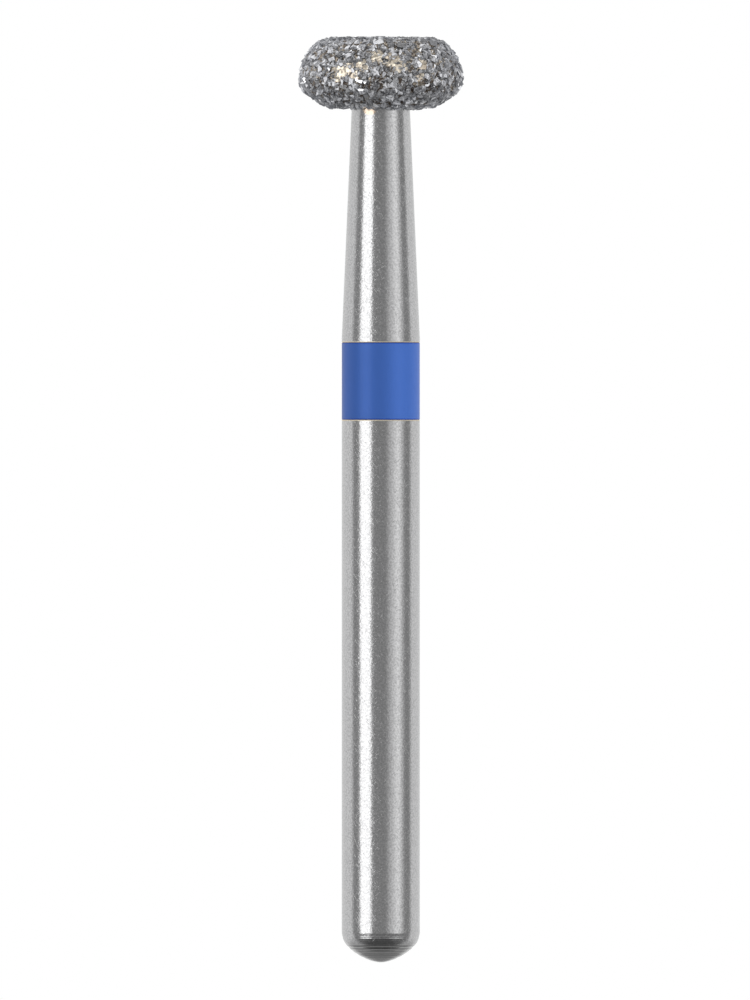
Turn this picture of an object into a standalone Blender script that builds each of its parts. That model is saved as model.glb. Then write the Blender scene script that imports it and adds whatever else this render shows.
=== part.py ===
"""Diamond dental bur with a wheel head and a friction grip shank.

The bur stands on the flat end of its head. Its axis is Z, z is 0 at the end of the head,
and the shank points up. Every size is in metres.
"""

import math

import bmesh
import bpy
import numpy as np
from mathutils import Vector
from mathutils.geometry import delaunay_2d_cdt

# Shank
TOTAL_LENGTH = 0.0190
SHANK_DIAMETER = 0.0016
EDGE_BREAK_LENGTH = 0.00012
EDGE_BREAK_DEPTH = 0.000012
DOME_HEIGHT = 0.00052
TIP_FLAT_DIAMETER = 0.00024

# Turned mark on the domed end
MARK_FROM_EDGE = 0.00027
MARK_WIDTH = 0.00003
MARK_DEPTH = 0.00001

# Neck, a straight cone from the head to the shank
NECK_DIAMETER = 0.0012
NECK_LENGTH = 0.00464

# Colour ring, seated flush in its groove
RING_FROM_NECK = 0.00009
RING_WIDTH = 0.0016
RING_THICKNESS = 0.0001

# Head, measured over the grit
HEAD_DIAMETER = 0.00343
HEAD_LENGTH = 0.00155
SHOULDER_WIDTH = 0.000715
SHOULDER_HEIGHT = 0.0009
BACK_WIDTH = 0.000595
BACK_FULLNESS = 0.54
UNDERSIDE_RISE = 0.00006

# Coating: the nickel bond over the core, and the diamond grit that stands out of it
BOND_THICKNESS = 0.0001
GRIT_RELIEF = 0.0001
COATING_THICKNESS = BOND_THICKNESS + GRIT_RELIEF
COATING_LIP = 0.00003
GRIT_PITCH = 0.000175
GRIT_WANDER = 0.000018
GRIT_SEED = 7

# A grain's crown: its size, its turn and tilt, and how far it is over or under the outline,
# as shares of the relief. What would stand over the outline is level with it.
CROWN_RADIUS = 0.000068
CROWN_LEAST = 0.8
CROWN_SKEW = 0.35
CROWN_TILT = 0.00002
CROWN_TALL = 0.25
CROWN_SHORT = 0.5

# Clearance between the pieces where they seat on each other
SEAT_GAP = 0.00001

# Facets
SEGMENTS = 48
DOME_STEPS = 4
SEAT_STEPS = (1, 5, 3, 1)
FINE_STEPS = (60, 120, 80, 40)
LEAST_SPACING = 0.00002
MERGE_DISTANCE = 1e-7
SHARP_ANGLE = math.radians(20)

# Finishes: colour, roughness and metallic value
STEEL = ((0.55, 0.55, 0.56), 0.28, 1.0)
ENAMEL = ((0.045, 0.13, 0.46), 0.3, 0.0)
GRIT = ((0.20, 0.20, 0.21), 0.35, 0.4)

GOLDEN_ANGLE = math.pi * (3 - math.sqrt(5))


def clear_scene():
    """Remove whatever the scene holds."""
    for thing in list(bpy.data.objects):
        bpy.data.objects.remove(thing, do_unlink=True)


def make_material(name, finish):
    """A plain shader with a colour, a roughness and a metallic value."""
    colour, roughness, metallic = finish
    material = bpy.data.materials.new(name)
    material.use_nodes = True
    shader = material.node_tree.nodes["Principled BSDF"]
    shader.inputs["Base Color"].default_value = (*colour, 1)
    shader.inputs["Roughness"].default_value = roughness
    shader.inputs["Metallic"].default_value = metallic
    return material


def add_piece(name, shape, material, parent):
    """Turn a bmesh into a named object under the parent, and free the bmesh."""
    bmesh.ops.recalc_face_normals(shape, faces=shape.faces)
    mesh = bpy.data.meshes.new(name)
    shape.to_mesh(mesh)
    shape.free()
    mesh.materials.append(material)
    piece = bpy.data.objects.new(name, mesh)
    piece.parent = parent
    bpy.context.collection.objects.link(piece)
    return piece


def shade_round(piece):
    """Smooth shading that keeps the turned corners sharp."""
    piece.data.shade_smooth()
    piece.data.set_sharp_from_angle(angle=SHARP_ANGLE)


def spin_profile(profile, closed):
    """Turn a profile of (r, z) points about the axis."""
    shape = bmesh.new()
    corners = [shape.verts.new((r, 0, z)) for r, z in profile]
    ends = corners[1:] + corners[:1] if closed else corners[1:]
    edges = [shape.edges.new(pair) for pair in zip(corners, ends)]
    bmesh.ops.spin(shape, geom=corners + edges, axis=(0, 0, 1), cent=(0, 0, 0),
                   angle=math.tau, steps=SEGMENTS)
    bmesh.ops.remove_doubles(shape, verts=shape.verts, dist=MERGE_DISTANCE)
    return shape


def straight(start, end, steps):
    """Points and directions along a line, without its start."""
    share = np.linspace(0, 1, steps + 1)[1:, None]
    return start + (end - start) * share, np.repeat([end - start], steps, axis=0)


def head_outline(steps):
    """Points (r, z) over the grit, from the end's centre to the neck, and inward normals.

    The end is flat, a quarter ellipse rounds it to the widest ring, a parabola rounds the
    back, and the underside slopes a little towards the neck. steps are for these four.
    """
    wide = HEAD_DIAMETER / 2
    centre = np.array((0.0, 0.0))
    flat_edge = np.array((wide - SHOULDER_WIDTH, 0.0))
    widest = np.array((wide, SHOULDER_HEIGHT))
    back_edge = np.array((wide - BACK_WIDTH, HEAD_LENGTH - UNDERSIDE_RISE))
    corner = widest + (0, BACK_FULLNESS * (back_edge[1] - SHOULDER_HEIGHT))
    neck_edge = np.array((NECK_DIAMETER / 2 + SEAT_GAP + COATING_LIP, HEAD_LENGTH))

    flat, flat_along = straight(centre, flat_edge, steps[0])
    turn = np.linspace(0, math.pi / 2, steps[1] + 1)[1:, None]
    shoulder = flat_edge + np.hstack((SHOULDER_WIDTH * np.sin(turn),
                                      SHOULDER_HEIGHT * (1 - np.cos(turn))))
    shoulder_along = np.hstack((SHOULDER_WIDTH * np.cos(turn), SHOULDER_HEIGHT * np.sin(turn)))
    t = np.linspace(0, 1, steps[2] + 1)[1:, None]
    back = widest * (1 - t) ** 2 + corner * 2 * t * (1 - t) + back_edge * t ** 2
    back_along = (corner - widest) * (1 - t) + (back_edge - corner) * t
    under, under_along = straight(back_edge, neck_edge, steps[3])

    places = np.vstack((centre, flat, shoulder, back, under))
    along = np.vstack((flat_along[0], flat_along, shoulder_along, back_along, under_along))
    along /= np.linalg.norm(along, axis=1)[:, None]
    return places, np.column_stack((-along[:, 1], along[:, 0]))


def seat_outline(inset, bore):
    """The head's outline moved inward, as (r, z) points that end on the radius bore."""
    places, inward = head_outline(SEAT_STEPS)
    places = places + inward * inset
    places[-1, 0] = bore
    return [tuple(place) for place in places]


def domed_end():
    """Points (r, z) from the shank's full diameter over the dome to the centre of its tip."""
    edge = SHANK_DIAMETER / 2 - EDGE_BREAK_DEPTH
    tip = TIP_FLAT_DIAMETER / 2
    apex = (edge ** 2 - tip ** 2 + DOME_HEIGHT ** 2) / (2 * DOME_HEIGHT)
    radius = math.hypot(tip, apex)
    first = math.atan2(apex - DOME_HEIGHT, edge)
    last = math.atan2(apex, tip)
    mark = first + MARK_FROM_EDGE / radius
    half = MARK_WIDTH / 2 / radius

    def on_dome(angle, depth=0.0):
        reach = radius - depth
        return reach * math.cos(angle), TOTAL_LENGTH - apex + reach * math.sin(angle)

    points = [(SHANK_DIAMETER / 2, TOTAL_LENGTH - DOME_HEIGHT - EDGE_BREAK_LENGTH)]
    points += [on_dome(angle) for angle in np.linspace(first, mark - half, DOME_STEPS)]
    points += [on_dome(mark, MARK_DEPTH)]
    points += [on_dome(angle) for angle in np.linspace(mark + half, last, DOME_STEPS + 1)]
    return points + [(0, TOTAL_LENGTH)]


def ring_span():
    """The lowest and highest z of the groove for the colour ring."""
    low = HEAD_LENGTH + NECK_LENGTH + RING_FROM_NECK
    return low, low + RING_WIDTH


def build_blank(material, parent):
    """Shank, neck and the head's core, turned from one bar."""
    neck = NECK_DIAMETER / 2
    shank = SHANK_DIAMETER / 2
    floor = shank - RING_THICKNESS
    low, high = ring_span()
    profile = seat_outline(COATING_THICKNESS + SEAT_GAP, neck)
    profile += [(neck, HEAD_LENGTH), (shank, HEAD_LENGTH + NECK_LENGTH)]
    profile += [(shank, low), (floor, low), (floor, high), (shank, high)]
    profile += domed_end()
    shade_round(add_piece("steel_blank", spin_profile(profile, False), material, parent))


def build_ring(material, parent):
    """The enamel band that fills the groove and marks the grit size."""
    outer = SHANK_DIAMETER / 2
    inner = outer - RING_THICKNESS + SEAT_GAP
    low, high = ring_span()
    low, high = low + SEAT_GAP, high - SEAT_GAP
    profile = [(inner, low), (outer, low), (outer, high), (inner, high)]
    shade_round(add_piece("colour_ring", spin_profile(profile, True), material, parent))


class HeadMap:
    """The head's outline laid out on a plane, with the end's centre in the middle.

    A spot on the plane is a complex number. Its distance from 0 grows along the outline so
    that a small step takes as much of the plane round the head as it does along it, and
    small shapes keep their form.
    """

    def __init__(self):
        self.places, self.inward = head_outline(FINE_STEPS)
        step = np.linalg.norm(np.diff(self.places, axis=0), axis=1)
        middle = (self.places[1:, 0] + self.places[:-1, 0]) / 2
        flat = FINE_STEPS[0]
        beyond = self.places[flat, 0] * np.exp(np.cumsum(step[flat:] / middle[flat:]))
        self.reach = np.concatenate((self.places[: flat + 1, 0], beyond))
        self.area = np.concatenate(([0.0], np.cumsum(math.tau * middle * step)))

    def reach_at(self, area):
        """The distance from 0 that holds this much of the head's surface."""
        return np.interp(area, self.area, self.reach)

    def stretch(self, spots):
        """How much longer a small step is on the plane than on the head."""
        reach = np.maximum(np.abs(spots), self.reach[1])
        return reach / np.interp(reach, self.reach, self.places[:, 0])

    def on_head(self, spots, depths):
        """Points in space at these depths under the head's outline."""
        reach, turn = np.abs(spots), np.angle(spots)
        r, z, inward_r, inward_z = (
            np.interp(reach, self.reach, column)
            for column in (*self.places.T, *self.inward.T))
        r, z = r + inward_r * depths, z + inward_z * depths
        return np.column_stack((r * np.cos(turn), r * np.sin(turn), z))


def joined(spots):
    """Triangles between spots on the plane, as the spots' numbers."""
    unit = np.abs(spots).max()
    flat = [Vector((spot.real, spot.imag)) / unit for spot in spots]
    faces, sources = delaunay_2d_cdt(flat, [], [], 0, MERGE_DISTANCE)[2:4]
    return [[sources[corner][0] for corner in face] for face in faces]


def grain_centres(chart, random):
    """Spots of the grains, spread evenly on a spiral over the head and moved a little."""
    rim_area = math.tau * chart.places[-1, 0] * GRIT_PITCH
    covered = chart.area[-1] - rim_area
    count = round(covered / (GRIT_PITCH ** 2 * math.sqrt(3) / 2))
    order = np.arange(count)
    reach = chart.reach_at((order + 0.5) / count * covered)
    centres = reach * np.exp(1j * GOLDEN_ANGLE * order)
    wander = random.uniform(-1, 1, count) + 1j * random.uniform(-1, 1, count)
    centres += wander * GRIT_WANDER * chart.stretch(centres)
    centres[0] = 0
    return centres


def grain_crowns(chart, centres, random):
    """Spots and depths of the three corners on top of each grain.

    The tallest grains stop at the head's outline, so the bur can stand on its end. The
    grain in the middle of the end is one of them, and its top is level.
    """
    count = len(centres)
    turn = random.uniform(0, math.tau, (count, 1)) + math.tau / 3 * np.arange(3)
    turn += random.uniform(-CROWN_SKEW, CROWN_SKEW, (count, 3))
    size = CROWN_RADIUS * random.uniform(CROWN_LEAST, 1, (count, 3))
    stretch = chart.stretch(centres)[:, None]
    spots = centres[:, None] + size * stretch * np.exp(1j * turn)
    depths = GRIT_RELIEF * random.uniform(-CROWN_TALL, CROWN_SHORT, (count, 1))
    depths = depths + random.uniform(-CROWN_TILT, CROWN_TILT, (count, 3))
    depths[0] = 0
    return spots.ravel(), np.maximum(depths, 0).ravel()


def grit_relief(chart):
    """Spots and depths over the coating: its rim at the neck, the crowns and the bond."""
    random = np.random.default_rng(GRIT_SEED)
    rim = chart.reach[-1] * np.exp(1j * math.tau * np.arange(SEGMENTS) / SEGMENTS)
    centres = grain_centres(chart, random)
    crowns, crown_depths = grain_crowns(chart, centres, random)
    around = np.concatenate((rim, centres))
    bond = np.array([around[corners].mean() for corners in joined(around)])
    depths = (np.zeros(SEGMENTS), crown_depths, np.full(len(bond), GRIT_RELIEF))
    return np.concatenate((rim, crowns, bond)), np.concatenate(depths)


def spaced(points):
    """Numbers of the points that are left when each one too near an earlier one goes."""
    kept = [0]
    for number in range(1, len(points)):
        apart = np.linalg.norm(points[kept] - points[number], axis=1)
        if apart.min() >= LEAST_SPACING:
            kept.append(number)
    return np.array(kept)


def extrude_ring(shape, ring, r, z):
    """Extrude a ring of edges about the axis to another radius and height."""
    made = bmesh.ops.extrude_edge_only(shape, edges=ring)["geom"]
    for corner in made:
        if isinstance(corner, bmesh.types.BMVert):
            across = corner.co.xy.normalized() * r
            corner.co = (across.x, across.y, z)
    return [edge for edge in made if isinstance(edge, bmesh.types.BMEdge) and edge.is_boundary]


def build_coating(material, parent):
    """The bond with its grit, one shell over the core that is open where the neck leaves."""
    chart = HeadMap()
    spots, depths = grit_relief(chart)
    points = chart.on_head(spots, depths)
    kept = spaced(points)
    shape = bmesh.new()
    corners = [shape.verts.new(point) for point in points[kept]]
    for a, b, c in joined(spots[kept]):
        shape.faces.new((corners[a], corners[b], corners[c]))
    ring = [edge for edge in shape.edges if edge.is_boundary]
    bore = NECK_DIAMETER / 2 + SEAT_GAP
    seat = seat_outline(COATING_THICKNESS, bore)[1:] + [(bore, HEAD_LENGTH)]
    for r, z in reversed(seat):
        ring = extrude_ring(shape, ring, r, z)
    bmesh.ops.contextual_create(shape, geom=ring)
    add_piece("diamond_coating", shape, material, parent)


def main():
    """Build the bur's three pieces under one empty at the centre of the head's end."""
    clear_scene()
    bur = bpy.data.objects.new("bur", None)
    bpy.context.collection.objects.link(bur)
    build_blank(make_material("ground_steel", STEEL), bur)
    build_ring(make_material("blue_enamel", ENAMEL), bur)
    build_coating(make_material("diamond_in_nickel", GRIT), bur)


main()
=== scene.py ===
# %% [markdown]
# # A dental bur with a diamond wheel head
#
# A bur is a dentist's grinding tool, 19 mm long. A steel blank is turned and ground from
# one bar, a ring of blue enamel on its shank tells the size of the grit, and its head is a
# wheel with diamond grit held in electroplated nickel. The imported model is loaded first.
# It stands on the end of its head with its axis on Z, and it fixes every size and place.

# %% The frame
import math

import bpy
import numpy as np
from mathutils import Matrix, Vector, kdtree


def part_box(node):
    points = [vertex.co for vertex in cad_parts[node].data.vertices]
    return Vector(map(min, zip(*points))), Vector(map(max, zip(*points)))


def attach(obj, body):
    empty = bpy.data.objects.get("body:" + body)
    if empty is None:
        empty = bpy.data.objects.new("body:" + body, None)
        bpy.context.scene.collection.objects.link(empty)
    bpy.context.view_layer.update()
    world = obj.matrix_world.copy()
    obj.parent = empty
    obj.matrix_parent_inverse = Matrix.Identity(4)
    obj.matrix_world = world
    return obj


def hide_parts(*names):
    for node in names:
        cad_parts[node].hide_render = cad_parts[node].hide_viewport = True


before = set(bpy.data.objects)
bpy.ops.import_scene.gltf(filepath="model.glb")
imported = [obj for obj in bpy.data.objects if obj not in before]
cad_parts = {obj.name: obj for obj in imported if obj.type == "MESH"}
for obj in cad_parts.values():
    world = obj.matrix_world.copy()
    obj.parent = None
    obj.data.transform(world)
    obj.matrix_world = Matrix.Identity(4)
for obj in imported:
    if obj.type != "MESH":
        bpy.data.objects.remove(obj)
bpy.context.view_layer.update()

# %% [markdown]
# ## Sizes
#
# The blank and the ring are round about the axis, so their sizes are read off the frame:
# each ring of corners in such a node has a height and a radius. The sizes that later cells
# name are of details which the frame is too plain to hold.


def turned_rings(node):
    """The heights of a turned node's rings of corners, and the radius of each."""
    corners = np.array([corner.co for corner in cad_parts[node].data.vertices])
    heights = np.round(corners[:, 2], 7)
    reach = np.hypot(corners[:, 0], corners[:, 1])
    levels = np.unique(heights)
    return levels, np.array([reach[heights == level].max() for level in levels])


levels, radii = turned_rings("steel_blank")
ring_levels, ring_radii = turned_rings("colour_ring")
head_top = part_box("diamond_coating")[1].z
LENGTH = float(levels[-1])
SHANK = float(ring_radii.max())
HEAD_LENGTH = float(head_top)
NECK = float(radii[np.abs(levels - HEAD_LENGTH).argmin()])
NECK_END = float(levels[(levels > HEAD_LENGTH) & (radii > SHANK - 1e-6)][0])
RING_LOW, RING_HIGH = float(ring_levels[0]), float(ring_levels[-1])
print(f"length {LENGTH * 1000:.2f} mm, shank {SHANK * 2000:.2f} mm, neck {NECK * 2000:.2f} mm "
      f"and {(NECK_END - HEAD_LENGTH) * 1000:.2f} mm long")

# %% [markdown]
# ## Camera
#
# The photograph is taken from the side with a long lens, with the head at the top. The
# bur stands on that head here, so the camera is rolled by half a turn. A long lens shows
# hardly any perspective, so the camera is orthographic. Its scale is the photograph's: the
# shank is 78 pixels wide there.

# %% The photograph's frame and the camera
IMAGE_HEIGHT = 1000
IMAGE_CENTRE = (375, 500)
SHANK_PIXELS = 78
AXIS_COLUMN = 380.8
HEAD_END_ROW = 36
CAMERA_DISTANCE = 0.2
CLIP_START = 0.002

pixel = 2 * SHANK / SHANK_PIXELS
camera_data = bpy.data.cameras.new("camera")
camera_data.type = "ORTHO"
camera_data.sensor_fit = "VERTICAL"
camera_data.ortho_scale = IMAGE_HEIGHT * pixel
camera_data.clip_start = CLIP_START
camera = bpy.data.objects.new("camera", camera_data)
bpy.context.scene.collection.objects.link(camera)
bpy.context.scene.camera = camera
camera.location = ((AXIS_COLUMN - IMAGE_CENTRE[0]) * pixel, -CAMERA_DISTANCE,
                   (IMAGE_CENTRE[1] - HEAD_END_ROW) * pixel)
camera.rotation_euler = (math.radians(90), math.radians(180), 0)
bpy.context.scene.view_settings.view_transform = "Standard"
print(f"one pixel is {pixel * 1e6:.1f} micrometres")

# %% [markdown]
# ## A short way to write shaders
#
# A material's pattern is a sum of noises, masks and ramps. Written as Python expressions,
# such sums can be read. The class below wraps one output of a node: an operator between
# two of them adds a Math node, and node() adds any other node. Five short functions then
# give the nodes that come back in several materials. Noise varies to both sides of 0.5,
# so 0.5 is taken off it where it has to push both ways.

# %% A wrapped socket


class Wire:
    """One output of a node, which takes part in sums and feeds other nodes."""

    def __init__(self, tree, socket=None):
        self.tree, self.socket = tree, socket

    def node(self, kind, settings=None, inputs=None, output=0):
        """Add a node, set it, feed its sockets and return one of its outputs."""
        made = self.tree.nodes.new(kind)
        for name, value in (settings or {}).items():
            if name == "stops":
                elements = made.color_ramp.elements
                for _ in range(len(value) - 2):
                    elements.new(0.5)
                for stop, (place, colour) in zip(elements, value):
                    stop.position = place
                    stop.color = (*colour, 1) if hasattr(colour, "__len__") else (colour,) * 3 + (1,)
            else:
                setattr(made, name, value)
        for name, value in (inputs or {}).items():
            if isinstance(value, Wire):
                self.tree.links.new(value.socket, made.inputs[name])
            else:
                made.inputs[name].default_value = value
        return Wire(self.tree, made.outputs[output] if len(made.outputs) else None)

    def out(self, name):
        """Another output of the same node."""
        return Wire(self.tree, self.socket.node.outputs[name])

    def maths(self, operation, *values):
        return self.node("ShaderNodeMath", {"operation": operation}, dict(enumerate(values)))

    def __add__(self, other):
        return self.maths("ADD", self, other)

    def __sub__(self, other):
        return self.maths("SUBTRACT", self, other)

    def __rsub__(self, other):
        return self.maths("SUBTRACT", other, self)

    def __mul__(self, other):
        return self.maths("MULTIPLY", self, other)

    def __truediv__(self, other):
        return self.maths("DIVIDE", self, other)

    def __abs__(self):
        return self.maths("ABSOLUTE", self)

    __radd__ = __add__
    __rmul__ = __mul__

    def above(self, low, high):
        """0 under low, 1 over high, and a smooth step between them."""
        return self.node("ShaderNodeMapRange", {"interpolation_type": "SMOOTHSTEP"},
                         {"Value": self, "From Min": low, "From Max": high})

    def between(self, other, share):
        """A colour from this one to the other, by share."""
        return self.node("ShaderNodeMix", {"data_type": "RGBA"},
                         {0: share, 6: self, 7: other}, output=2)


def tree_of(owner):
    """The emptied node tree of a material, a world or a lamp."""
    owner.use_nodes = True
    owner.node_tree.nodes.clear()
    return Wire(owner.node_tree)


# %% Nodes that come back


def noise(place, scale, detail=2.0):
    """Cloudy noise, with about this many lumps to the metre."""
    return place.node("ShaderNodeTexNoise", {},
                      {"Vector": place, "Scale": scale, "Detail": detail})


def ramp(stops, share):
    """The colour between a ramp's stops at this share."""
    return share.node("ShaderNodeValToRGB", {"stops": stops}, {"Fac": share})


def bumps(height, metres=1.0):
    """The tilted normals of a height, which is counted in this many metres."""
    return height.node("ShaderNodeBump", {},
                       {"Strength": 1.0, "Distance": metres, "Height": height})


def upward(place):
    """How far along Z a place is."""
    return place.node("ShaderNodeSeparateXYZ", {}, {"Vector": place}).out("Z")


def marked(shade, name, output="Fac"):
    """What a piece's mesh holds under this attribute's name."""
    return shade.node("ShaderNodeAttribute", {"attribute_name": name}).out(output)


# %% [markdown]
# ## Studio
#
# The shank is a mirror for the studio: its white stripe is a strip light, the grainy one
# is a soft box with a bright middle, and the grey at both its edges is the white backdrop
# behind the bur. Angles are counted from the camera, and these two lamps stand where the
# shank mirrors them. At 4 watts to the square metre an area lamp looks just white. A
# lamp's node tree makes the soft box fade towards its edges. The shoulder light shines on
# the end of the head from the image's top, which is under the floor here. Two more lamps
# light one piece each: one brings out the enamel's blue, and a wide sun keeps the floor
# pale round the bur's shadow.

# %% Lamps
STUDIO_CENTRE = Vector((0, 0, LENGTH / 2))
LAMP_DISTANCE = 0.15
WHITE_WATTS = 4


def add_lamp(name, angle, height, wide, tall, radiance, glow=None):
    """An area lamp at this angle from the camera, positive towards the image's right."""
    data = bpy.data.lights.new(name, "AREA")
    data.shape = "RECTANGLE"
    data.size, data.size_y = wide, tall
    data.energy = WHITE_WATTS * radiance * wide * tall
    if glow:
        shade = tree_of(data)
        across = shade.node("ShaderNodeNewGeometry").out("Parametric")
        across = shade.node("ShaderNodeSeparateXYZ", {}, {"Vector": across})
        shine = shade.node("ShaderNodeEmission", {}, {"Strength": ramp(glow, across)})
        shade.node("ShaderNodeOutputLight", {}, {"Surface": shine})
    lamp = bpy.data.objects.new(name, data)
    bpy.context.scene.collection.objects.link(lamp)
    turn = math.radians(angle)
    place = Vector((-math.sin(turn), -math.cos(turn), 0)) * LAMP_DISTANCE
    place.z = height
    lamp.location = STUDIO_CENTRE + place
    lamp.rotation_euler = place.to_track_quat("Z", "Y").to_euler()
    lamp.visible_camera = False
    return lamp


SOFT_BOX_GLOW = [(0.0, 0.0), (0.2, 0.42), (0.31, 0.68), (0.44, 0.76), (0.6, 0.5), (0.79, 0.31),
                 (1.0, 0.04)]
add_lamp("strip_light", angle=-46.5, height=-0.031, wide=0.1, tall=0.21, radiance=1.18)
add_lamp("soft_box", angle=46, height=-0.042, wide=0.18, tall=0.22, radiance=0.84,
         glow=SOFT_BOX_GLOW)
add_lamp("shoulder_light", angle=0, height=-0.15, wide=0.09, tall=0.07, radiance=1.3)
ring_light = add_lamp("ring_light", angle=70, height=0.0, wide=0.12, tall=0.2, radiance=3.3)
ring_light.visible_glossy = False

# %% Lamps for one piece each
SUN_STRENGTH, SUN_WIDTH = 1.7, math.radians(60)
SUN_TILT, SUN_TURN = math.radians(35), math.radians(25)

floor_light = bpy.data.objects.new("floor_light", bpy.data.lights.new("floor_light", "SUN"))
floor_light.data.energy, floor_light.data.angle = SUN_STRENGTH, SUN_WIDTH
floor_light.rotation_euler = (SUN_TILT, 0, SUN_TURN)
bpy.context.scene.collection.objects.link(floor_light)


def light_only(lamp, piece):
    """Let a lamp light this one piece."""
    lit = bpy.data.collections.new(f"lit_by_{lamp.name}")
    lit.objects.link(piece)
    lamp.light_linking.receiver_collection = lit


# %% [markdown]
# ## Surround
#
# The world is three rooms in one. The camera sees plain white, like the photograph's
# background. Metal mirrors a dim room with a bright backdrop behind the bur; past the
# domed end all of it is darker, less so at the sides. Matt surfaces are lit most from the
# image's top and left. The floor is pale and matt, and metal doesn't mirror it. It casts
# no shadow itself, so it doesn't hide the lamp below it, but it shows the bur's.

# %% World
world = bpy.context.scene.world or bpy.data.worlds.new("studio")
bpy.context.scene.world = world
DIM_STUDIO = 0.29
BACKDROP_IN_METAL, BACKDROP_EDGE, BACKDROP_TURN = 0.82, (0.0, 0.18), 0.06
DARK_PAST_THE_TIP, PAST_THE_TIP = 0.72, (0.25, 0.65)
SPARED_AT_SIDES, AT_SIDES = 0.5, (0.3, 0.8)
ROOM_LIGHT, ROOM_LEFT_GAIN = 0.75, 0.15
ROOM_FALL, ROOM_FALL_SPAN = 0.45, (-0.4, 0.8)
WHITE = (1, 1, 1, 1)

sky = tree_of(world)
seen_by = sky.node("ShaderNodeLightPath")
direction = sky.node("ShaderNodeTexCoord").out("Generated")
direction = sky.node("ShaderNodeSeparateXYZ", {}, {"Vector": direction})
left, up = direction.out("X"), direction.out("Z")
behind = direction.out("Y") + left * BACKDROP_TURN
in_metal = DIM_STUDIO + behind.above(*BACKDROP_EDGE) * (BACKDROP_IN_METAL - DIM_STUDIO)
kept_dark = 1 - abs(left).above(*AT_SIDES) * SPARED_AT_SIDES
in_metal = in_metal * (1 - up.above(*PAST_THE_TIP) * kept_dark * DARK_PAST_THE_TIP)
room = ROOM_LIGHT * (1 - up.above(*ROOM_FALL_SPAN) * ROOM_FALL) * (1 + left * ROOM_LEFT_GAIN)
glossy = seen_by.out("Is Glossy Ray")
to_camera = seen_by.out("Is Camera Ray")
light = in_metal * glossy + room * (1 - glossy)
light = light * (1 - to_camera) + to_camera
surround = sky.node("ShaderNodeBackground", {}, {"Color": WHITE, "Strength": light})
sky.node("ShaderNodeOutputWorld", {}, {"Surface": surround})

# %% Floor
FLOOR_SIZE = 1.2
FLOOR_COLOUR = (0.86, 0.86, 0.86, 1)
bpy.ops.object.select_all(action="DESELECT")
bpy.ops.mesh.primitive_plane_add(size=FLOOR_SIZE)
floor = bpy.context.object
floor.name = "floor"
floor_paint = bpy.data.materials.new("pale_floor")
shade = tree_of(floor_paint)
matt = shade.node("ShaderNodeBsdfDiffuse", {}, {"Color": FLOOR_COLOUR})
shade.node("ShaderNodeOutputMaterial", {}, {"Surface": matt})
floor.data.materials.append(floor_paint)
floor.visible_glossy = False
floor.visible_shadow = False
light_only(floor_light, floor)
print(f"{len(bpy.data.lights)} lamps round a floor of {FLOOR_SIZE} m")

# %% [markdown]
# ## Turning a piece
#
# The steel, the enamel and the nickel bond are round about one axis, so each starts as a
# ring of corners, the circle primitive, which is pulled along the axis and resized from
# station to station of its profile, as a lathe tool goes. A piece that ends on the axis is
# closed by merging its first and last rings. Rounded corners are stations of the profile
# too. Edges sharper than 35 degrees stay sharp, and the rest are shaded smooth.

# %% The lathe
SIDES = 192
MERGE = 1e-8
SHARP = math.radians(35)


def new_object(name):
    """Name the object that an operator has just added."""
    piece = bpy.context.object
    piece.name = piece.data.name = name
    return piece


def turn_piece(name, profile, closed, sides=SIDES):
    """Pull a ring of corners through the (radius, height) stations of a profile."""
    (radius, height), *stations = profile + profile[:1] if closed else profile
    bpy.ops.object.select_all(action="DESELECT")
    bpy.ops.mesh.primitive_circle_add(vertices=sides, radius=radius, location=(0, 0, height))
    piece = new_object(name)
    bpy.ops.object.transform_apply(location=True, rotation=False, scale=False)
    bpy.ops.object.mode_set(mode="EDIT")
    bpy.ops.mesh.select_mode(type="EDGE")
    bpy.ops.mesh.select_all(action="SELECT")
    for wide, high in stations:
        bpy.ops.mesh.extrude_edges_move(TRANSFORM_OT_translate={"value": (0, 0, high - height)})
        bpy.ops.transform.resize(value=(wide / radius, wide / radius, 1), center_override=(0, 0, 0))
        radius, height = wide, high
    if not closed:
        bpy.ops.mesh.merge(type="CENTER")
        bpy.ops.mesh.select_non_manifold()
        bpy.ops.mesh.merge(type="CENTER")
    bpy.ops.mesh.select_all(action="SELECT")
    bpy.ops.mesh.remove_doubles(threshold=MERGE)
    bpy.ops.mesh.normals_make_consistent(inside=False)
    bpy.ops.object.mode_set(mode="OBJECT")
    bpy.ops.object.shade_smooth_by_angle(angle=SHARP)
    print(f"{name}: {len(piece.data.polygons)} faces")
    return piece


def arc(centre, radius, start, end, steps):
    """Stations on a circle, by angles in degrees from the radius towards the tip."""
    angles = np.radians(np.linspace(start, end, steps))
    return [(centre[0] + radius * math.cos(a), centre[1] + radius * math.sin(a)) for a in angles]


# %% [markdown]
# ## The head's outline
#
# The head is a wheel with a flat end, a full shoulder and a rounder back. The same curve
# serves three surfaces: the grit's tops are on it, the nickel lies a little under it, and
# the core is deeper still. So it is one function, which gives points and inward normals.

# %% Outline
HEAD_RADIUS = 0.001715
SHOULDER_WIDTH, SHOULDER_HEIGHT = 0.000715, 0.0009
BACK_WIDTH, BACK_FULLNESS = 0.000595, 0.54
UNDERSIDE_RISE = 0.00006
LIP = 0.00004


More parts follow.
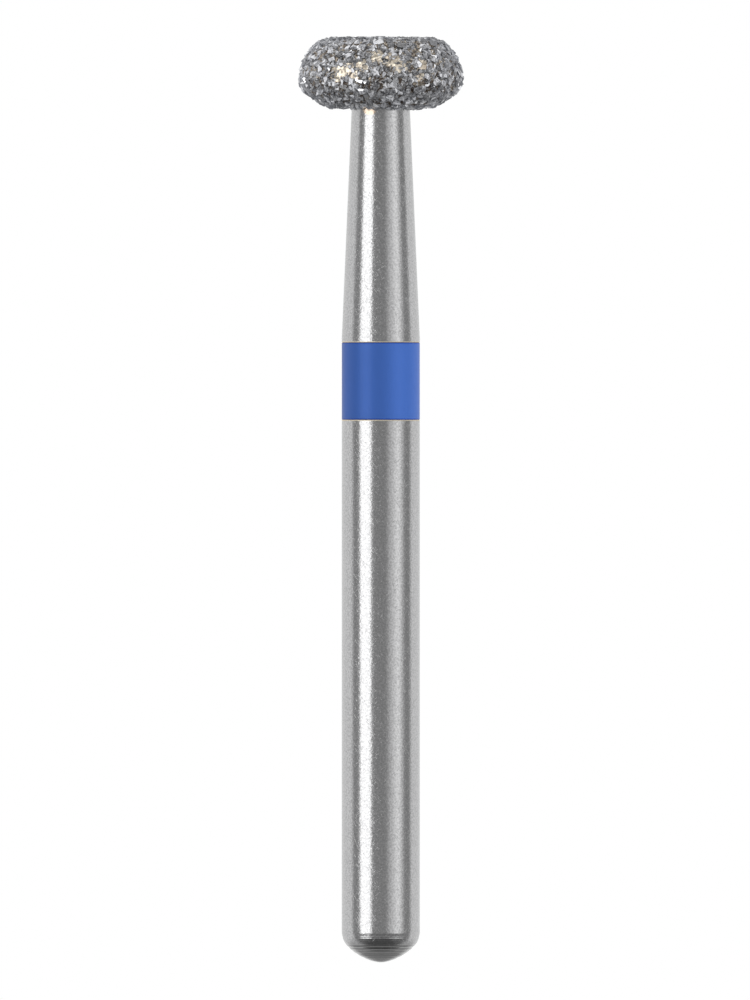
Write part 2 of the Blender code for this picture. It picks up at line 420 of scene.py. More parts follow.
def head_outline(steps):
    """Points (r, z) from the end's centre to the neck, and their inward normals."""
    flat_edge = np.array((HEAD_RADIUS - SHOULDER_WIDTH, 0.0))
    widest = np.array((HEAD_RADIUS, SHOULDER_HEIGHT))
    back_edge = np.array((HEAD_RADIUS - BACK_WIDTH, HEAD_LENGTH - UNDERSIDE_RISE))
    corner = widest + (0, BACK_FULLNESS * (back_edge[1] - SHOULDER_HEIGHT))
    neck_edge = np.array((NECK + LIP, HEAD_LENGTH))
    flat = np.linspace((0, 0), flat_edge, steps[0], endpoint=False)
    turn = np.linspace(0, math.pi / 2, steps[1], endpoint=False)[:, None]
    shoulder = flat_edge + np.hstack((SHOULDER_WIDTH * np.sin(turn),
                                      SHOULDER_HEIGHT * (1 - np.cos(turn))))
    t = np.linspace(0, 1, steps[2], endpoint=False)[:, None]
    back = widest * (1 - t) ** 2 + corner * 2 * t * (1 - t) + back_edge * t ** 2
    under = np.linspace(back_edge, neck_edge, steps[3] + 1)
    places = np.vstack((flat, shoulder, back, under))
    along = np.gradient(places, axis=0)
    along /= np.linalg.norm(along, axis=1)[:, None]
    return places, np.column_stack((-along[:, 1], along[:, 0]))


# %% [markdown]
# ## Steel blank
#
# The blank is one piece from the core of the head to the domed end. The edges of the
# enamel's groove and the start of the dome are broken by about a hundredth of a
# millimetre, because such an edge catches the light. The dome's section is between an
# ellipse and a cone. The lathe left grooves on it: the deepest is nearly halfway to the
# tip, a few finer ones follow, and each turn of the tool has left a mark of its own depth.

# %% Profile of the blank
COATING = 0.00018
CORE_STEPS = (2, 12, 10, 2)
POLE_RADIUS = 0.00002
EDGE_BREAK = 0.000012
RING_DEPTH = 0.0001
DOME_HEIGHT = 0.00052
DOME_RISE = 0.000526
DOME_START = 0.000783
DOME_POWERS = (1.57, 1.6)
EDGE_OF_DOME = ((0.0008, 0.000075), (0.000797, 0.000062), (0.00079, 0.00003))
TIP_RADIUS, TIP_FLAT = 0.00003, 0.8
GROOVES = ((0.000305, 0.00002, 0.000008), (0.000241, 0.000011, 0.000005),
           (0.000169, 0.000014, 0.000006), (0.000097, 0.000012, 0.000005))
FEED_PITCH, FEED_DEPTH, FEED_SEED = 0.000042, 0.000003, 5
DOME_STATIONS = 170
BELOW_TIP = 0.000001
NECK_STATIONS, SHANK_STATIONS, BEFORE_DOME = 12, 16, 0.00012


def core_profile():
    """The head's core, under the coating, from its end's centre to the neck."""
    places, inward = head_outline(CORE_STEPS)
    places = places + inward * COATING
    places[0, 0] = POLE_RADIUS
    inner = [(float(r), float(z)) for r, z in places[:-1] if r > NECK + LIP]
    return [(float(places[0, 0]), COATING)] + inner


def feed_marks(length):
    """How deep the tool's marks are at these lengths along the dome's section."""
    turns = length / FEED_PITCH
    depths = np.random.default_rng(FEED_SEED).uniform(0, FEED_DEPTH, int(turns.max()) + 2)
    return np.interp(turns, np.arange(len(depths)), depths) * (1 - np.cos(math.tau * turns)) / 2


def dome_profile():
    """The domed end with its turned grooves and feed marks."""
    turn = np.linspace(0, math.pi / 2, DOME_STATIONS)[:-1]
    reach = DOME_START * np.cos(turn) ** (2 / DOME_POWERS[0])
    height = LENGTH - DOME_HEIGHT + DOME_RISE * np.sin(turn) ** (2 / DOME_POWERS[1])
    along = np.column_stack((np.gradient(reach), np.gradient(height)))
    steps = np.linalg.norm(along, axis=1)
    depth = feed_marks(np.cumsum(steps))
    for below_tip, half_width, deep in GROOVES:
        away = (height - (LENGTH - below_tip)) / half_width
        depth = np.maximum(depth, deep * np.exp(-away ** 2))
    reach = np.maximum(reach - depth * along[:, 1] / steps, TIP_RADIUS)
    height = height + depth * along[:, 0] / steps
    stations = [(float(r), float(z)) for r, z in zip(reach, height) if z < LENGTH - BELOW_TIP]
    return stations + [(stations[-1][0] * TIP_FLAT, LENGTH), (TIP_RADIUS / 2, LENGTH)]


def blank_profile():
    """All stations of the blank, from the core's end to the tip."""
    floor_radius = SHANK - RING_DEPTH
    neck_share = np.linspace(0, 1, NECK_STATIONS)
    stations = core_profile()
    stations += [(NECK, HEAD_LENGTH - COATING)]
    stations += [(NECK + (SHANK - NECK) * s, HEAD_LENGTH + (NECK_END - HEAD_LENGTH) * s)
                 for s in neck_share]
    stations += [(SHANK, RING_LOW - EDGE_BREAK), (SHANK - EDGE_BREAK, RING_LOW),
                 (floor_radius, RING_LOW), (floor_radius, RING_HIGH),
                 (SHANK - EDGE_BREAK, RING_HIGH), (SHANK, RING_HIGH + EDGE_BREAK)]
    end = LENGTH - DOME_HEIGHT
    shank = np.linspace(RING_HIGH, end - BEFORE_DOME, SHANK_STATIONS)[1:]
    stations += [(SHANK, float(z)) for z in shank]
    stations += [(radius, end - before) for radius, before in EDGE_OF_DOME]
    return stations + dome_profile()


blank = turn_piece("ground_blank", blank_profile(), closed=False)

# %% [markdown]
# ## Colour ring
#
# The enamel fills a groove a tenth of a millimetre deep. Its surface tension leaves both
# edges slightly round, and that is what parts it from the steel to the eye. Its profile is
# closed: it comes back to its first station, where the seam is merged.

# %% The ring
SEAT_GAP = 0.00001
RING_ROUND = 0.000015
RING_STATIONS, CORNER_STATIONS = 10, 5


def ring_profile():
    inner = SHANK - RING_DEPTH + SEAT_GAP
    centre = SHANK - RING_ROUND
    stations = [(inner, RING_LOW)]
    side = np.linspace(RING_LOW, RING_HIGH, RING_STATIONS)[1:-1]
    stations += arc((centre, RING_LOW + RING_ROUND), RING_ROUND, -90, 0, CORNER_STATIONS)
    stations += [(SHANK, float(z)) for z in side]
    stations += arc((centre, RING_HIGH - RING_ROUND), RING_ROUND, 0, 90, CORNER_STATIONS)
    return stations + [(inner, RING_HIGH)]


ring = turn_piece("enamel_ring", ring_profile(), closed=True)
light_only(ring_light, ring)

# %% [markdown]
# ## Where the grains sit
#
# Grit falls on the head at random while the nickel grows round it. Darts are thrown at the
# surface the same way, the large grains first and the small ones into the gaps: a grain
# stays where it lands if none is too near. A few spots, where the nickel shows between the
# grains in the photograph, take fewer of them. A few large pale grains near the neck and a
# few that stand out at the head's widest are listed and set before the rest. All of them are
# given by an angle from the camera and a height above the head's end.

# %% Spots for the grains
GRAIN_RADII = ((260, 0.000088), (1000, 0.000070), (1600, 0.000051))
RADIUS_SPREAD = 0.14
CLOSENESS = 0.70
THROWS = 40
GRIT_SEED = 11
CURVE_STEPS = (60, 120, 80, 40)
KEPT_FROM_NECK = 0.000005
BARE_SPOTS = ((-33, 0.00073, 0.00019), (-26, 0.00068, 0.00021), (-19, 0.00084, 0.00014),
              (-2, 0.00041, 0.00019), (8, 0.00047, 0.00018), (14, 0.00064, 0.00013),
              (-14, 0.00060, 0.00014), (28, 0.00092, 0.00018), (33, 0.00058, 0.00015))
BARE_CHANCE = 0.66
PALE_GRAINS = ((7, 0.00130), (15, 0.00140), (21, 0.00128), (28, 0.00141), (-6, 0.00121),
               (10, 0.00098))
PALE_RADIUS = 0.000098
PROUD_GRAINS = ((-88, 0.00102), (-93, 0.00115), (-86, 0.00070), (-84, 0.00048), (89, 0.00086),
                (93, 0.00103), (85, 0.00066), (88, 0.00120), (82, 0.00045), (178, 0.00090))
PROUD_RADIUS = 0.000094

random = np.random.default_rng(GRIT_SEED)
curve, curve_inward = head_outline(CURVE_STEPS)
step = np.linalg.norm(np.diff(curve, axis=0), axis=1)
middle = (curve[1:, 0] + curve[:-1, 0]) / 2
area = np.concatenate(([0], np.cumsum(math.tau * middle * step)))
usable = np.interp(HEAD_LENGTH - KEPT_FROM_NECK, curve[:, 1], area)


def on_head(share, turn):
    """The point, the outward normal at a share of the head's area and an angle about Z."""
    spot = share * usable
    r, z, inward_r, inward_z = (np.interp(spot, area, column)
                                for column in (*curve.T, *curve_inward.T))
    place = Vector((r * math.cos(turn), r * math.sin(turn), z))
    outward = Vector((-inward_r * math.cos(turn), -inward_r * math.sin(turn), -inward_z))
    return place, outward.normalized()


def on_side(angle, height):
    """The point and outward normal at an angle from the camera and a height on the side."""
    share = np.interp(height, curve[:, 1], area) / usable
    return on_head(share, -math.pi / 2 - math.radians(angle))


bare = [(on_side(angle, height)[0], wide) for angle, height, wide in BARE_SPOTS]


def throw_grains():
    """Places, outward normals and radii of all grains."""
    by_hand = [on_side(*grain) for grain in PALE_GRAINS + PROUD_GRAINS]
    spots, normals = [place for place, _ in by_hand], [outward for _, outward in by_hand]
    sizes = [PALE_RADIUS] * len(PALE_GRAINS) + [PROUD_RADIUS] * len(PROUD_GRAINS)
    kept = np.array(spots)
    for count, typical in GRAIN_RADII:
        for _ in range(count):
            radius = typical * (1 + random.uniform(-RADIUS_SPREAD, RADIUS_SPREAD))
            for _ in range(THROWS):
                place, outward = on_head(random.random(), random.uniform(0, math.tau))
                apart = np.linalg.norm(kept - place, axis=1)
                if (apart < CLOSENESS * (np.array(sizes) + radius)).any():
                    continue
                if any((place - spot).length < wide for spot, wide in bare):
                    if random.random() < BARE_CHANCE:
                        break
                spots.append(place)
                normals.append(outward)
                sizes.append(radius)
                kept = np.vstack((kept, place))
                break
    return spots, normals, sizes


spots, normals, sizes = throw_grains()
print(f"{len(spots)} grains on {usable * 1e6:.1f} square millimetres")

# %% [markdown]
# ## Nickel bond
#
# The bond is a plated skin that climbs the side of each grain. It is turned as a thin
# closed cup, and then each corner of its outer side is raised where a grain is near, and
# into a low mound in the spots where the nickel shows. A cut crystal is narrower than its
# circle, so the nickel climbs from a little inside that. A number on each corner tells how
# open the nickel lies there, from 0 in a narrow crevice: it grows with the mean gap to the
# two nearest grains, and in a mound.

# %% The bond
BOND_DEPTH = 0.000096
BOND_POLE_RADIUS = 0.00001
BOND_SIDES = 300
BOND_STEPS = (34, 46, 30, 14)
MENISCUS, MENISCUS_REACH, FOOT_INSET = 0.000030, 0.000045, 0.4
MOUND, MOUND_STEEPNESS = 0.000032, 2
NEIGHBOURS, NEAREST = 4, 2
CREVICE, OPEN_NICKEL = 0.000004, 0.00003
INNER_DEPTH = 0.00017


def bond_profile():
    """Outer side from the end's centre to the lip at the neck, then the inner side back."""
    outer, inward = head_outline(BOND_STEPS)
    outer = outer + inward * BOND_DEPTH
    outer[0, 0] = BOND_POLE_RADIUS
    reach_neck = outer[:, 0] > NECK + LIP / 2
    outer = outer[reach_neck | (outer[:, 1] < HEAD_LENGTH / 2)]
    inner, inner_inward = head_outline(CORE_STEPS)
    inner = inner + inner_inward * INNER_DEPTH
    inner[0, 0] = BOND_POLE_RADIUS
    inner = inner[(inner[:, 0] > NECK + LIP) | (inner[:, 1] < HEAD_LENGTH / 2)]
    stations = [(float(r), float(z)) for r, z in outer]
    stations += [(NECK + SEAT_GAP, outer[-1, 1]), (NECK + SEAT_GAP, HEAD_LENGTH - COATING)]
    return stations + [(float(r), float(z)) for r, z in inner[::-1]]


bond = turn_piece("nickel_bond", bond_profile(), closed=False, sides=BOND_SIDES)


def raise_bond():
    """Raise the bond's outer side round the grains, and note how open it lies."""
    near = kdtree.KDTree(len(spots))
    for number, spot in enumerate(spots):
        near.insert(spot - normals[number] * BOND_DEPTH, number)
    near.balance()
    gaps = []
    for corner in bond.data.vertices:
        around = sorted((apart - sizes[number], number)
                        for _, number, apart in near.find_n(corner.co, NEIGHBOURS))
        gap, number = around[0]
        gaps.append(sum(gap for gap, _ in around[:NEAREST]) / NEAREST)
        if (corner.co - spots[number]).dot(normals[number]) < -(BOND_DEPTH + INNER_DEPTH) / 2:
            continue
        share = 1 - (gap + sizes[number] * FOOT_INSET) / MENISCUS_REACH
        mound = max(1 - (corner.co - place).length / (wide + BOND_DEPTH) for place, wide in bare)
        mound = min(max(mound * MOUND_STEEPNESS, 0), 1)
        gaps[-1] += mound * OPEN_NICKEL
        rise = MENISCUS * min(max(share, 0), 1) ** 2 + MOUND * mound
        corner.co += normals[number] * rise
    open_share = np.clip((np.array(gaps) - CREVICE) / (OPEN_NICKEL - CREVICE), 0, 1)
    opened = bond.data.attributes.new("open", "FLOAT", "POINT")
    opened.data.foreach_set("value", open_share.astype(np.float32))
    print(f"the nickel lies open on {open_share.mean() * 100:.0f}% of the bond")


raise_bond()

# %% [markdown]
# ## Diamond grit
#
# Crushed diamond breaks along flat planes. A crystal is therefore a block cut down by
# bisecting planes, each of which is filled. Sixteen crystals are enough: every grain is a
# copy of one of them, with its own size and turn. All grains stand on the core, so the
# largest reach the head's outline and the small ones lie deeper, except in the mounds of
# nickel, where the small ones stand higher to look out of it. The listed grains at the
# widest come up almost to the outline. Light is thrown about inside a crystal, so its
# facets differ more than their slopes do. Two numbers on each facet stand for that: its
# tone, which is partly the whole grain's, and its shine, which makes a mirror of a few
# facets. Each corner also knows how far under the outline it lies, and each facet which
# way the head faces there.

# %% Crystals
CRYSTALS = 16
BLOCK_SIDES = (0.75, 1.15)
CUTS, CUT_REACH = 7, (0.36, 0.5)


def random_direction():
    """A direction with no preference."""
    return Vector(random.normal(size=3)).normalized()


def make_crystal(number):
    """A block about 1 across, cut down by planes."""
    bpy.ops.object.select_all(action="DESELECT")
    bpy.ops.mesh.primitive_cube_add(size=1)
    crystal = new_object(f"crystal_{number}")
    bpy.ops.object.mode_set(mode="EDIT")
    bpy.ops.mesh.select_all(action="SELECT")
    bpy.ops.transform.resize(value=tuple(random.uniform(*BLOCK_SIDES, 3)))
    for _ in range(CUTS):
        towards = random_direction()
        bpy.ops.mesh.select_all(action="SELECT")
        bpy.ops.mesh.bisect(plane_co=towards * random.uniform(*CUT_REACH), plane_no=towards,
                            use_fill=True, clear_outer=True)
    bpy.ops.object.mode_set(mode="OBJECT")
    return crystal


crystals = [make_crystal(number) for number in range(CRYSTALS)]
print("faces of the crystals:", [len(crystal.data.polygons) for crystal in crystals])

# %% Grains
DEEPEST_TOP = 0.000075
SHALLOWEST_TOP = 0.000005
DEPTH_SPREAD = 0.000006
SINK_SPREAD, SINK_IN_MOUND = (0.05, 1.2), 0.35
LARGEST = GRAIN_RADII[0][1] * (1 + RADIUS_SPREAD)
SMALLEST = GRAIN_RADII[2][1] * (1 - RADIUS_SPREAD)
FLAT_END = 0.00001
FACET_SHARE = 0.42
FLANK_SHADE, MIDDLE_LEAN = 0.65, 0.6
SHINY_SHARE = 0.15
PALE_TONE = 0.92


def mark_facets(mesh, tone, outward):
    """Give each facet its tone, with painted shade on a grain's flanks, and its shine, 0 or 1."""
    count = len(mesh.polygons)
    lean = np.array([facet.normal.dot(outward) for facet in mesh.polygons])
    tones = tone * (1 - FACET_SHARE) + random.random(count) * FACET_SHARE
    # Painted shade and light: facets on a grain's flanks are darker, those that face outwards
    # lighter.
    tones += (np.clip(lean, 0, 1) - MIDDLE_LEAN) * FLANK_SHADE
    shines = random.random(count) < SHINY_SHARE
    for name, values in (("tone", tones), ("shine", shines)):
        number = mesh.attributes.new(name, "FLOAT", "FACE")
        number.data.foreach_set("value", values.astype(np.float32))


def mark_place(mesh, spot, outward):
    """Note how deep each corner lies under the outline, and the head's way out there."""
    depth = mesh.attributes.new("depth", "FLOAT", "POINT")
    depth.data.foreach_set("value", [(spot - corner.co).dot(outward) for corner in mesh.vertices])
    way_out = mesh.attributes.new("way_out", "FLOAT_VECTOR", "FACE")
    way_out.data.foreach_set("vector", np.tile(outward, len(mesh.polygons)))


def set_grain(number, spot, outward, radius):
    """A copy of one crystal on its spot, with its top a little under the outline."""
    mesh = crystals[random.integers(CRYSTALS)].data.copy()
    turned = random_direction().rotation_difference(random_direction()).to_matrix().to_4x4()
    mesh.transform(turned @ Matrix.Scale(2 * radius, 4))
    top = max(corner.co.dot(outward) for corner in mesh.vertices)
    least = 0 if spot.z < FLAT_END else SHALLOWEST_TOP
    smallness = (LARGEST - radius) / (LARGEST - SMALLEST)
    in_mound = any((spot - place).length < wide + BOND_DEPTH for place, wide in bare)
    smallness *= random.uniform(*SINK_SPREAD) * (SINK_IN_MOUND if in_mound else 1)
    depth = least + (DEEPEST_TOP - least) * smallness + random.uniform(0, DEPTH_SPREAD)
    depth = least if radius == PROUD_RADIUS else depth
    mesh.transform(Matrix.Translation(spot - outward * (top + depth)))
    mark_facets(mesh, PALE_TONE if radius == PALE_RADIUS else random.random(), outward)
    mark_place(mesh, spot, outward)
    grain = bpy.data.objects.new(f"grain_{number}", mesh)
    bpy.context.scene.collection.objects.link(grain)
    return grain


bpy.ops.object.select_all(action="DESELECT")
grains = [set_grain(number, *grain) for number, grain in enumerate(zip(spots, normals, sizes))]
for grain in grains:
    grain.select_set(True)
bpy.context.view_layer.objects.active = grains[0]
bpy.ops.object.join()
grit = new_object("diamond_grit")
for crystal in crystals:
    bpy.data.objects.remove(crystal, do_unlink=True)
print(f"diamond_grit: {len(grit.data.polygons)} faces")

# %% [markdown]
# ## Ground steel
#
# Fine grinding leaves a satin grain a few hundredths of a millimetre long, which shows
# most where the shank mirrors a fading light. So the grain is a bump, with a spread of the
# colour for the part of it that is too fine to model. Hairline scratches from handling are
# noise stretched along two slanting directions, cut off so high that few are left, and
# bright specks are rough spots in the middles of Voronoi cells. On the dome each turn of
# the tool has a grey of its own, partly its real mark and partly painted light and shade
# for how each turn mirrors the studio; lacquer tints a fine line on either side of the
# enamel, and in one spot the plating has crept from the head onto the neck.

# %% Steel material
GRAIN_LENGTH, GRAIN_HEIGHT = 0.000042, 0.000002
DUST_FINENESS = 1.15
STEEL, STEEL_SPREAD = (0.58, 0.58, 0.585), 0.105
STEEL_GREYS = [(0.3, tuple(c * (1 - STEEL_SPREAD) for c in STEEL)),
               (0.7, tuple(c * (1 + STEEL_SPREAD) for c in STEEL))]
TURN_MARKS_AND_SHEEN = [(0.35, (0.40,) * 3), (0.65, (0.80,) * 3)]
TURNED_FROM = (0.00012, 0.0002)
SCRATCH_LEANS = (0.75, -1.2)
SCRATCH_LENGTH, SCRATCH_WIDTH, SCRATCH_DEPTH = 0.0002, 0.000016, 0.0000009
SCRATCH_CUT = (0.74, 0.82)
SPECK_SPACING, SPECK_EDGE = 0.0006, (0.0108, 0.018)
LACQUER, LACQUER_EDGE = (0.95, 0.84, 0.62, 1), (0.000015, 0.00003)
OVERSPRAY, OVERSPRAY_SCALE = (0.80, 0.66, 0.53, 1), 2600.0
OVERSPRAY_ANGLE, OVERSPRAY_REACH, OVERSPRAY_SUNK = math.radians(22), 0.00017, 0.7
OVERSPRAY_RAGGED, OVERSPRAY_EDGE = 0.0001, (0.0, 0.00002)
STEEL_ROUGH, SPECK_ROUGH, LACQUER_ROUGH = 0.19, 0.5, 0.4


def scratches(around, along, lean):
    """Short thin lines that lean this much from the axis, 1 in the middle of each."""
    length = (along + around * lean) / SCRATCH_LENGTH
    across = (around - along * lean) / SCRATCH_WIDTH
    spot = along.node("ShaderNodeCombineXYZ", {}, {"X": length, "Y": across, "Z": lean})
    return noise(spot, scale=1.0, detail=0.0).above(*SCRATCH_CUT)


def past_ring(along):
    """How far a height is beyond the ring's edges, less than 0 between them."""
    return abs(along - (RING_LOW + RING_HIGH) / 2) - (RING_HIGH - RING_LOW) / 2


def steel_material():
    material = bpy.data.materials.new("ground_steel")
    shade = tree_of(material)
    place = shade.node("ShaderNodeTexCoord").out("Object")
    axes = shade.node("ShaderNodeSeparateXYZ", {}, {"Vector": place})
    along = axes.out("Z")
    around = shade.maths("ARCTAN2", axes.out("X"), axes.out("Y")) * SHANK
    colour = ramp(STEEL_GREYS, noise(place, DUST_FINENESS / GRAIN_LENGTH, detail=0.0))
    # On the dome each turn of the tool gets its own grey: partly its real mark, partly painted light
    # and dark bands for how each turn mirrors the studio.
    turns = shade.node("ShaderNodeCombineXYZ", {}, {"Z": along})
    turns = ramp(TURN_MARKS_AND_SHEEN, noise(turns, 1 / FEED_PITCH))
    colour = colour.between(turns, (along - (LENGTH - DOME_HEIGHT)).above(*TURNED_FROM))
    cells = shade.node("ShaderNodeTexVoronoi", {}, {"Vector": place, "Scale": 1 / SPECK_SPACING})
    specks = 1 - cells.above(*SPECK_EDGE)
    tinted = 1 - past_ring(along).above(*LACQUER_EDGE)
    colour = colour.between(LACQUER, tinted)
    spot = (NECK * math.sin(OVERSPRAY_ANGLE), -NECK * math.cos(OVERSPRAY_ANGLE),
            HEAD_LENGTH - OVERSPRAY_REACH * OVERSPRAY_SUNK)
    away = shade.node("ShaderNodeVectorMath", {"operation": "DISTANCE"}, {0: place, 1: spot},
                      output=1)
    ragged = (noise(place, OVERSPRAY_SCALE) - 0.5) * OVERSPRAY_RAGGED
    plated = 1 - (away - OVERSPRAY_REACH - ragged).above(*OVERSPRAY_EDGE)
    colour = colour.between(OVERSPRAY, plated)
    grain = noise(place, 1 / GRAIN_LENGTH, detail=1.0)
    marks = scratches(around, along, SCRATCH_LEANS[0]) + scratches(around, along, SCRATCH_LEANS[1])
    rough = STEEL_ROUGH + specks * SPECK_ROUGH + tinted * LACQUER_ROUGH
    steel = shade.node("ShaderNodeBsdfPrincipled", {},
                       {"Base Color": colour, "Metallic": 1.0, "Roughness": rough,
                        "Normal": bumps(grain * GRAIN_HEIGHT - marks * SCRATCH_DEPTH)})
    shade.node("ShaderNodeOutputMaterial", {}, {"Surface": steel})
    return material


blank.data.materials.append(steel_material())

# %% [markdown]
# ## Blue enamel
#
# The enamel is a thin tinted layer over steel. Light that has been down to the metal comes
# back blue, so the stripes that the shank mirrors go on over the ring in blue. A share of
# metallic in the shader does that, with the layer's own colour for the rest.

# %% Enamel material
ENAMEL, ENAMEL_ROUGH = (0.047, 0.125, 0.425, 1), 0.42
EDGE_SHADE_BLUE, EDGE_BAND = (0.02, 0.07, 0.36, 1), (-0.00003, -0.000015)
MOTTLE_SCALE, MOTTLE_HEIGHT, MOTTLE_ROUGH = 9000.0, 0.0000006, 0.1


def enamel_material():
    material = bpy.data.materials.new("blue_enamel")
    shade = tree_of(material)
    place = shade.node("ShaderNodeTexCoord").out("Object")
    mottle = noise(place, MOTTLE_SCALE, detail=3.0)
    base = shade.node("ShaderNodeRGB")
    base.socket.default_value = ENAMEL
    # Both edges of the ring are painted a darker blue: painted shade where the enamel meets the
    # steel.
    colour = base.between(EDGE_SHADE_BLUE, past_ring(upward(place)).above(*EDGE_BAND))
    enamel = shade.node("ShaderNodeBsdfPrincipled", {},
                        {"Base Color": colour, "Metallic": 0.5, "Specular IOR Level": 0.2,
                         "Roughness": ENAMEL_ROUGH + mottle * MOTTLE_ROUGH,
                         "Normal": bumps(mottle, MOTTLE_HEIGHT),
                         "Coat Weight": 0.14, "Coat Roughness": 0.16})
    shade.node("ShaderNodeOutputMaterial", {}, {"Surface": enamel})
    return material


ring.data.materials.append(enamel_material())

# %% [markdown]
# ## Nickel and diamond
#
# Electroplated nickel is a warm, slightly lumpy metal. Down in the crevices it is given
# painted shade, dull and dark brown, more so towards the neck; thin ridges and the lumps
# break that shade up, the ridges into lines of painted highlight. Diamond grit is grey and
# a little translucent, with glossy facets: a high index of refraction makes each facet a
# weak mirror, though less of one than in a cut stone, as these are rough breaks. The tone
# of a facet picks its grey, from dark brownish to pale blue grey, and clouds and fine
# cracks, bright and dark, lie inside. The grit is also given painted shade towards the
# neck. It is painted paler where the head turns away, as painted light for the light that
# comes through it there, and nickel has climbed up the foot of many grains.

# %% Nickel material
NICKEL = (0.93, 0.84, 0.70, 1)
NICKEL_DARK = (0.60, 0.52, 0.42, 1)
STAINS, STAIN_SCALE, STAIN_ROUGH = [(0.35, NICKEL_DARK[:3]), (0.55, NICKEL[:3])], 5000.0, 0.12
CREVICE_SHADE_BROWN = (0.085, 0.065, 0.052, 1)
END_SIDE, END_SIDE_LIT = (0.0005, 0.0011), 0.3
RIDGE_SCALE, RIDGE_WIDTH, RIDGE_HIGHLIGHTS = 9000.0, (0.012, 0.05), 0.5
LUMP_SCALE, LUMP_HEIGHT, LUMP_OPENS = 26000.0, 0.000004, 0.8
OPEN_FROM = (0.2, 0.95)
NICKEL_ROUGH, CREVICE_METALLIC = 0.24, 0.4


def nickel_material():
    material = bpy.data.materials.new("plated_nickel")
    shade = tree_of(material)
    place = shade.node("ShaderNodeTexCoord").out("Object")
    lumps = noise(place, LUMP_SCALE, detail=3.0)
    stain = noise(place, STAIN_SCALE)
    end_side = 1 - upward(place).above(*END_SIDE)
    ridges = 1 - abs(noise(place, RIDGE_SCALE, detail=1.0) - 0.5).above(*RIDGE_WIDTH)
    # Painted shade: nickel in a narrow crevice, and further from the head's end, turns dull dark
    # brown; thin ridges of noise lift that shade into lines of painted highlight, and the lumps
    # break it into patches.
    opened = marked(shade, "open") + end_side * END_SIDE_LIT + ridges * RIDGE_HIGHLIGHTS
    opened = (opened + (lumps - 0.5) * LUMP_OPENS).above(*OPEN_FROM)
    colour = ramp(STAINS, stain).between(CREVICE_SHADE_BROWN, 1 - opened)
    nickel = shade.node("ShaderNodeBsdfPrincipled", {},
                        {"Base Color": colour,
                         "Metallic": CREVICE_METALLIC + opened * (1 - CREVICE_METALLIC),
                         "Roughness": NICKEL_ROUGH + stain * STAIN_ROUGH,
                         "Normal": bumps(lumps, LUMP_HEIGHT)})
    shade.node("ShaderNodeOutputMaterial", {}, {"Surface": nickel})
    return material


bond.data.materials.append(nickel_material())

# %% Diamond material
DIAMOND_INDEX = 2.4
GREYS = [(0.0, (0.013, 0.012, 0.011)), (0.3, (0.05, 0.049, 0.051)), (0.55, (0.14, 0.141, 0.15)),
         (0.78, (0.31, 0.316, 0.336)), (1.0, (0.82, 0.83, 0.87))]
NECK_SIDE_SHADE, NECK_SIDE = 0.12, (0.0007, 0.0013)
CLOUD_SCALE, CLOUD_HEIGHT, CLOUD_TONE, CLOUD_ROUGH = 22000.0, 0.000005, 1.3, 0.16
CRACK_SCALE, CRACK_WIDTH = 14000.0, (0.01, 0.045)
CRACK, CRACK_LEVEL, CRACK_SHARE = (0.66, 0.66, 0.67, 1), 0.5, 0.4
DARK_CRACK, DARK_CRACK_LEVEL, DARK_CRACK_SHARE = (0.03, 0.028, 0.027, 1), 0.6, 0.75
BACKLIT_PALE, BACKLIT_SHARE = (0.43, 0.45, 0.505, 1), 0.45
MIRROR = (0.93, 0.94, 0.97, 1)
RIM_SCALE, RIM_HEIGHT, RIM_EDGE = 9000.0, 0.000018, (0.0, 0.000004)
RIM_PATCHES = (0.42, 0.6)
BARE_NECK_SIDE, RIM_NECK_SIDE = 0.7, (0.0006, 0.0012)
DIAMOND_ROUGH, MIRROR_METALLIC, RIM_METALLIC = 0.1, 0.9, 0.5


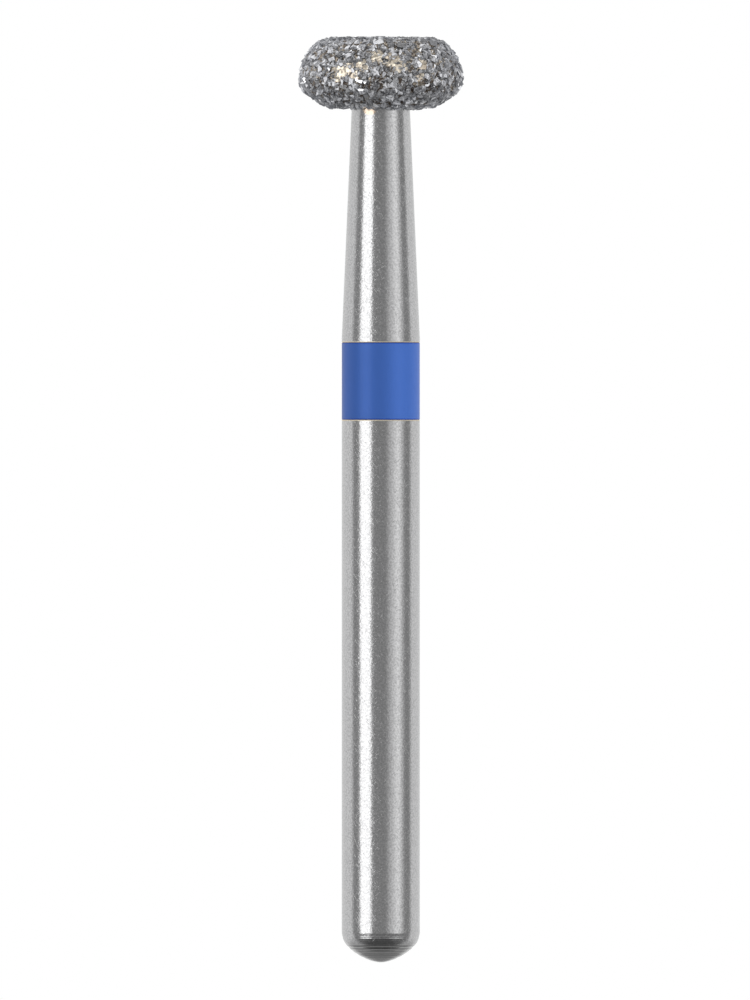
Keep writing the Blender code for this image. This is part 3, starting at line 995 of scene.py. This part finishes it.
def diamond_material():
    material = bpy.data.materials.new("diamond")
    shade = tree_of(material)
    place = shade.node("ShaderNodeTexCoord").out("Object")
    along = upward(place)
    cloud = noise(place, CLOUD_SCALE, detail=3.0)
    tone = marked(shade, "tone") + (cloud - 0.5) * CLOUD_TONE
    # The grit is painted darker towards the neck: painted shade on that side of the head.
    colour = ramp(GREYS, tone - along.above(*NECK_SIDE) * NECK_SIDE_SHADE)
    cracks = noise(place, CRACK_SCALE, detail=1.0)
    bright = 1 - abs(cracks - CRACK_LEVEL).above(*CRACK_WIDTH)
    dark = 1 - abs(cracks - DARK_CRACK_LEVEL).above(*CRACK_WIDTH)
    colour = colour.between(CRACK, bright * CRACK_SHARE)
    colour = colour.between(DARK_CRACK, dark * DARK_CRACK_SHARE)
    way_out = shade.node("ShaderNodeVectorTransform",
                         {"vector_type": "NORMAL", "convert_from": "OBJECT",
                          "convert_to": "WORLD"}, {"Vector": marked(shade, "way_out", "Vector")})
    turned_away = shade.node("ShaderNodeLayerWeight", {},
                             {"Blend": 0.5, "Normal": way_out}).out("Facing")
    # The grit is painted paler where the head turns away: painted light for the light that comes
    # through the grains there.
    colour = colour.between(BACKLIT_PALE, turned_away * turned_away * BACKLIT_SHARE)
    shine = marked(shade, "shine")
    colour = colour.between(MIRROR, shine)
    climb = noise(place, RIM_SCALE)
    rim = (marked(shade, "depth") - BOND_DEPTH + climb * 2 * RIM_HEIGHT).above(*RIM_EDGE)
    rim = rim * climb.above(*RIM_PATCHES) * (1 - along.above(*RIM_NECK_SIDE) * BARE_NECK_SIDE)
    colour = colour.between(NICKEL, rim)
    metallic = shade.maths("MAXIMUM", shine * MIRROR_METALLIC, rim * RIM_METALLIC)
    diamond = shade.node("ShaderNodeBsdfPrincipled", {},
                         {"Base Color": colour, "Metallic": metallic,
                          "Roughness": DIAMOND_ROUGH + cloud * CLOUD_ROUGH,
                          "IOR": DIAMOND_INDEX, "Specular IOR Level": 0.26,
                          "Normal": bumps(cloud, CLOUD_HEIGHT)})
    shade.node("ShaderNodeOutputMaterial", {}, {"Surface": diamond})
    return material


grit.data.materials.append(diamond_material())

# %% [markdown]
# ## Onto the frame
#
# Each new piece rides on the bur's one body and stands for its plain solid, which is kept
# but hidden.

# %% Ride and replace
for piece, node, finish in ((blank, "steel_blank", "ground_steel"),
                            (ring, "colour_ring", "blue_enamel"),
                            (bond, "diamond_coating", "diamond_in_nickel"),
                            (grit, "diamond_coating", "diamond_in_nickel")):
    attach(piece, "root")
    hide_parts(node)
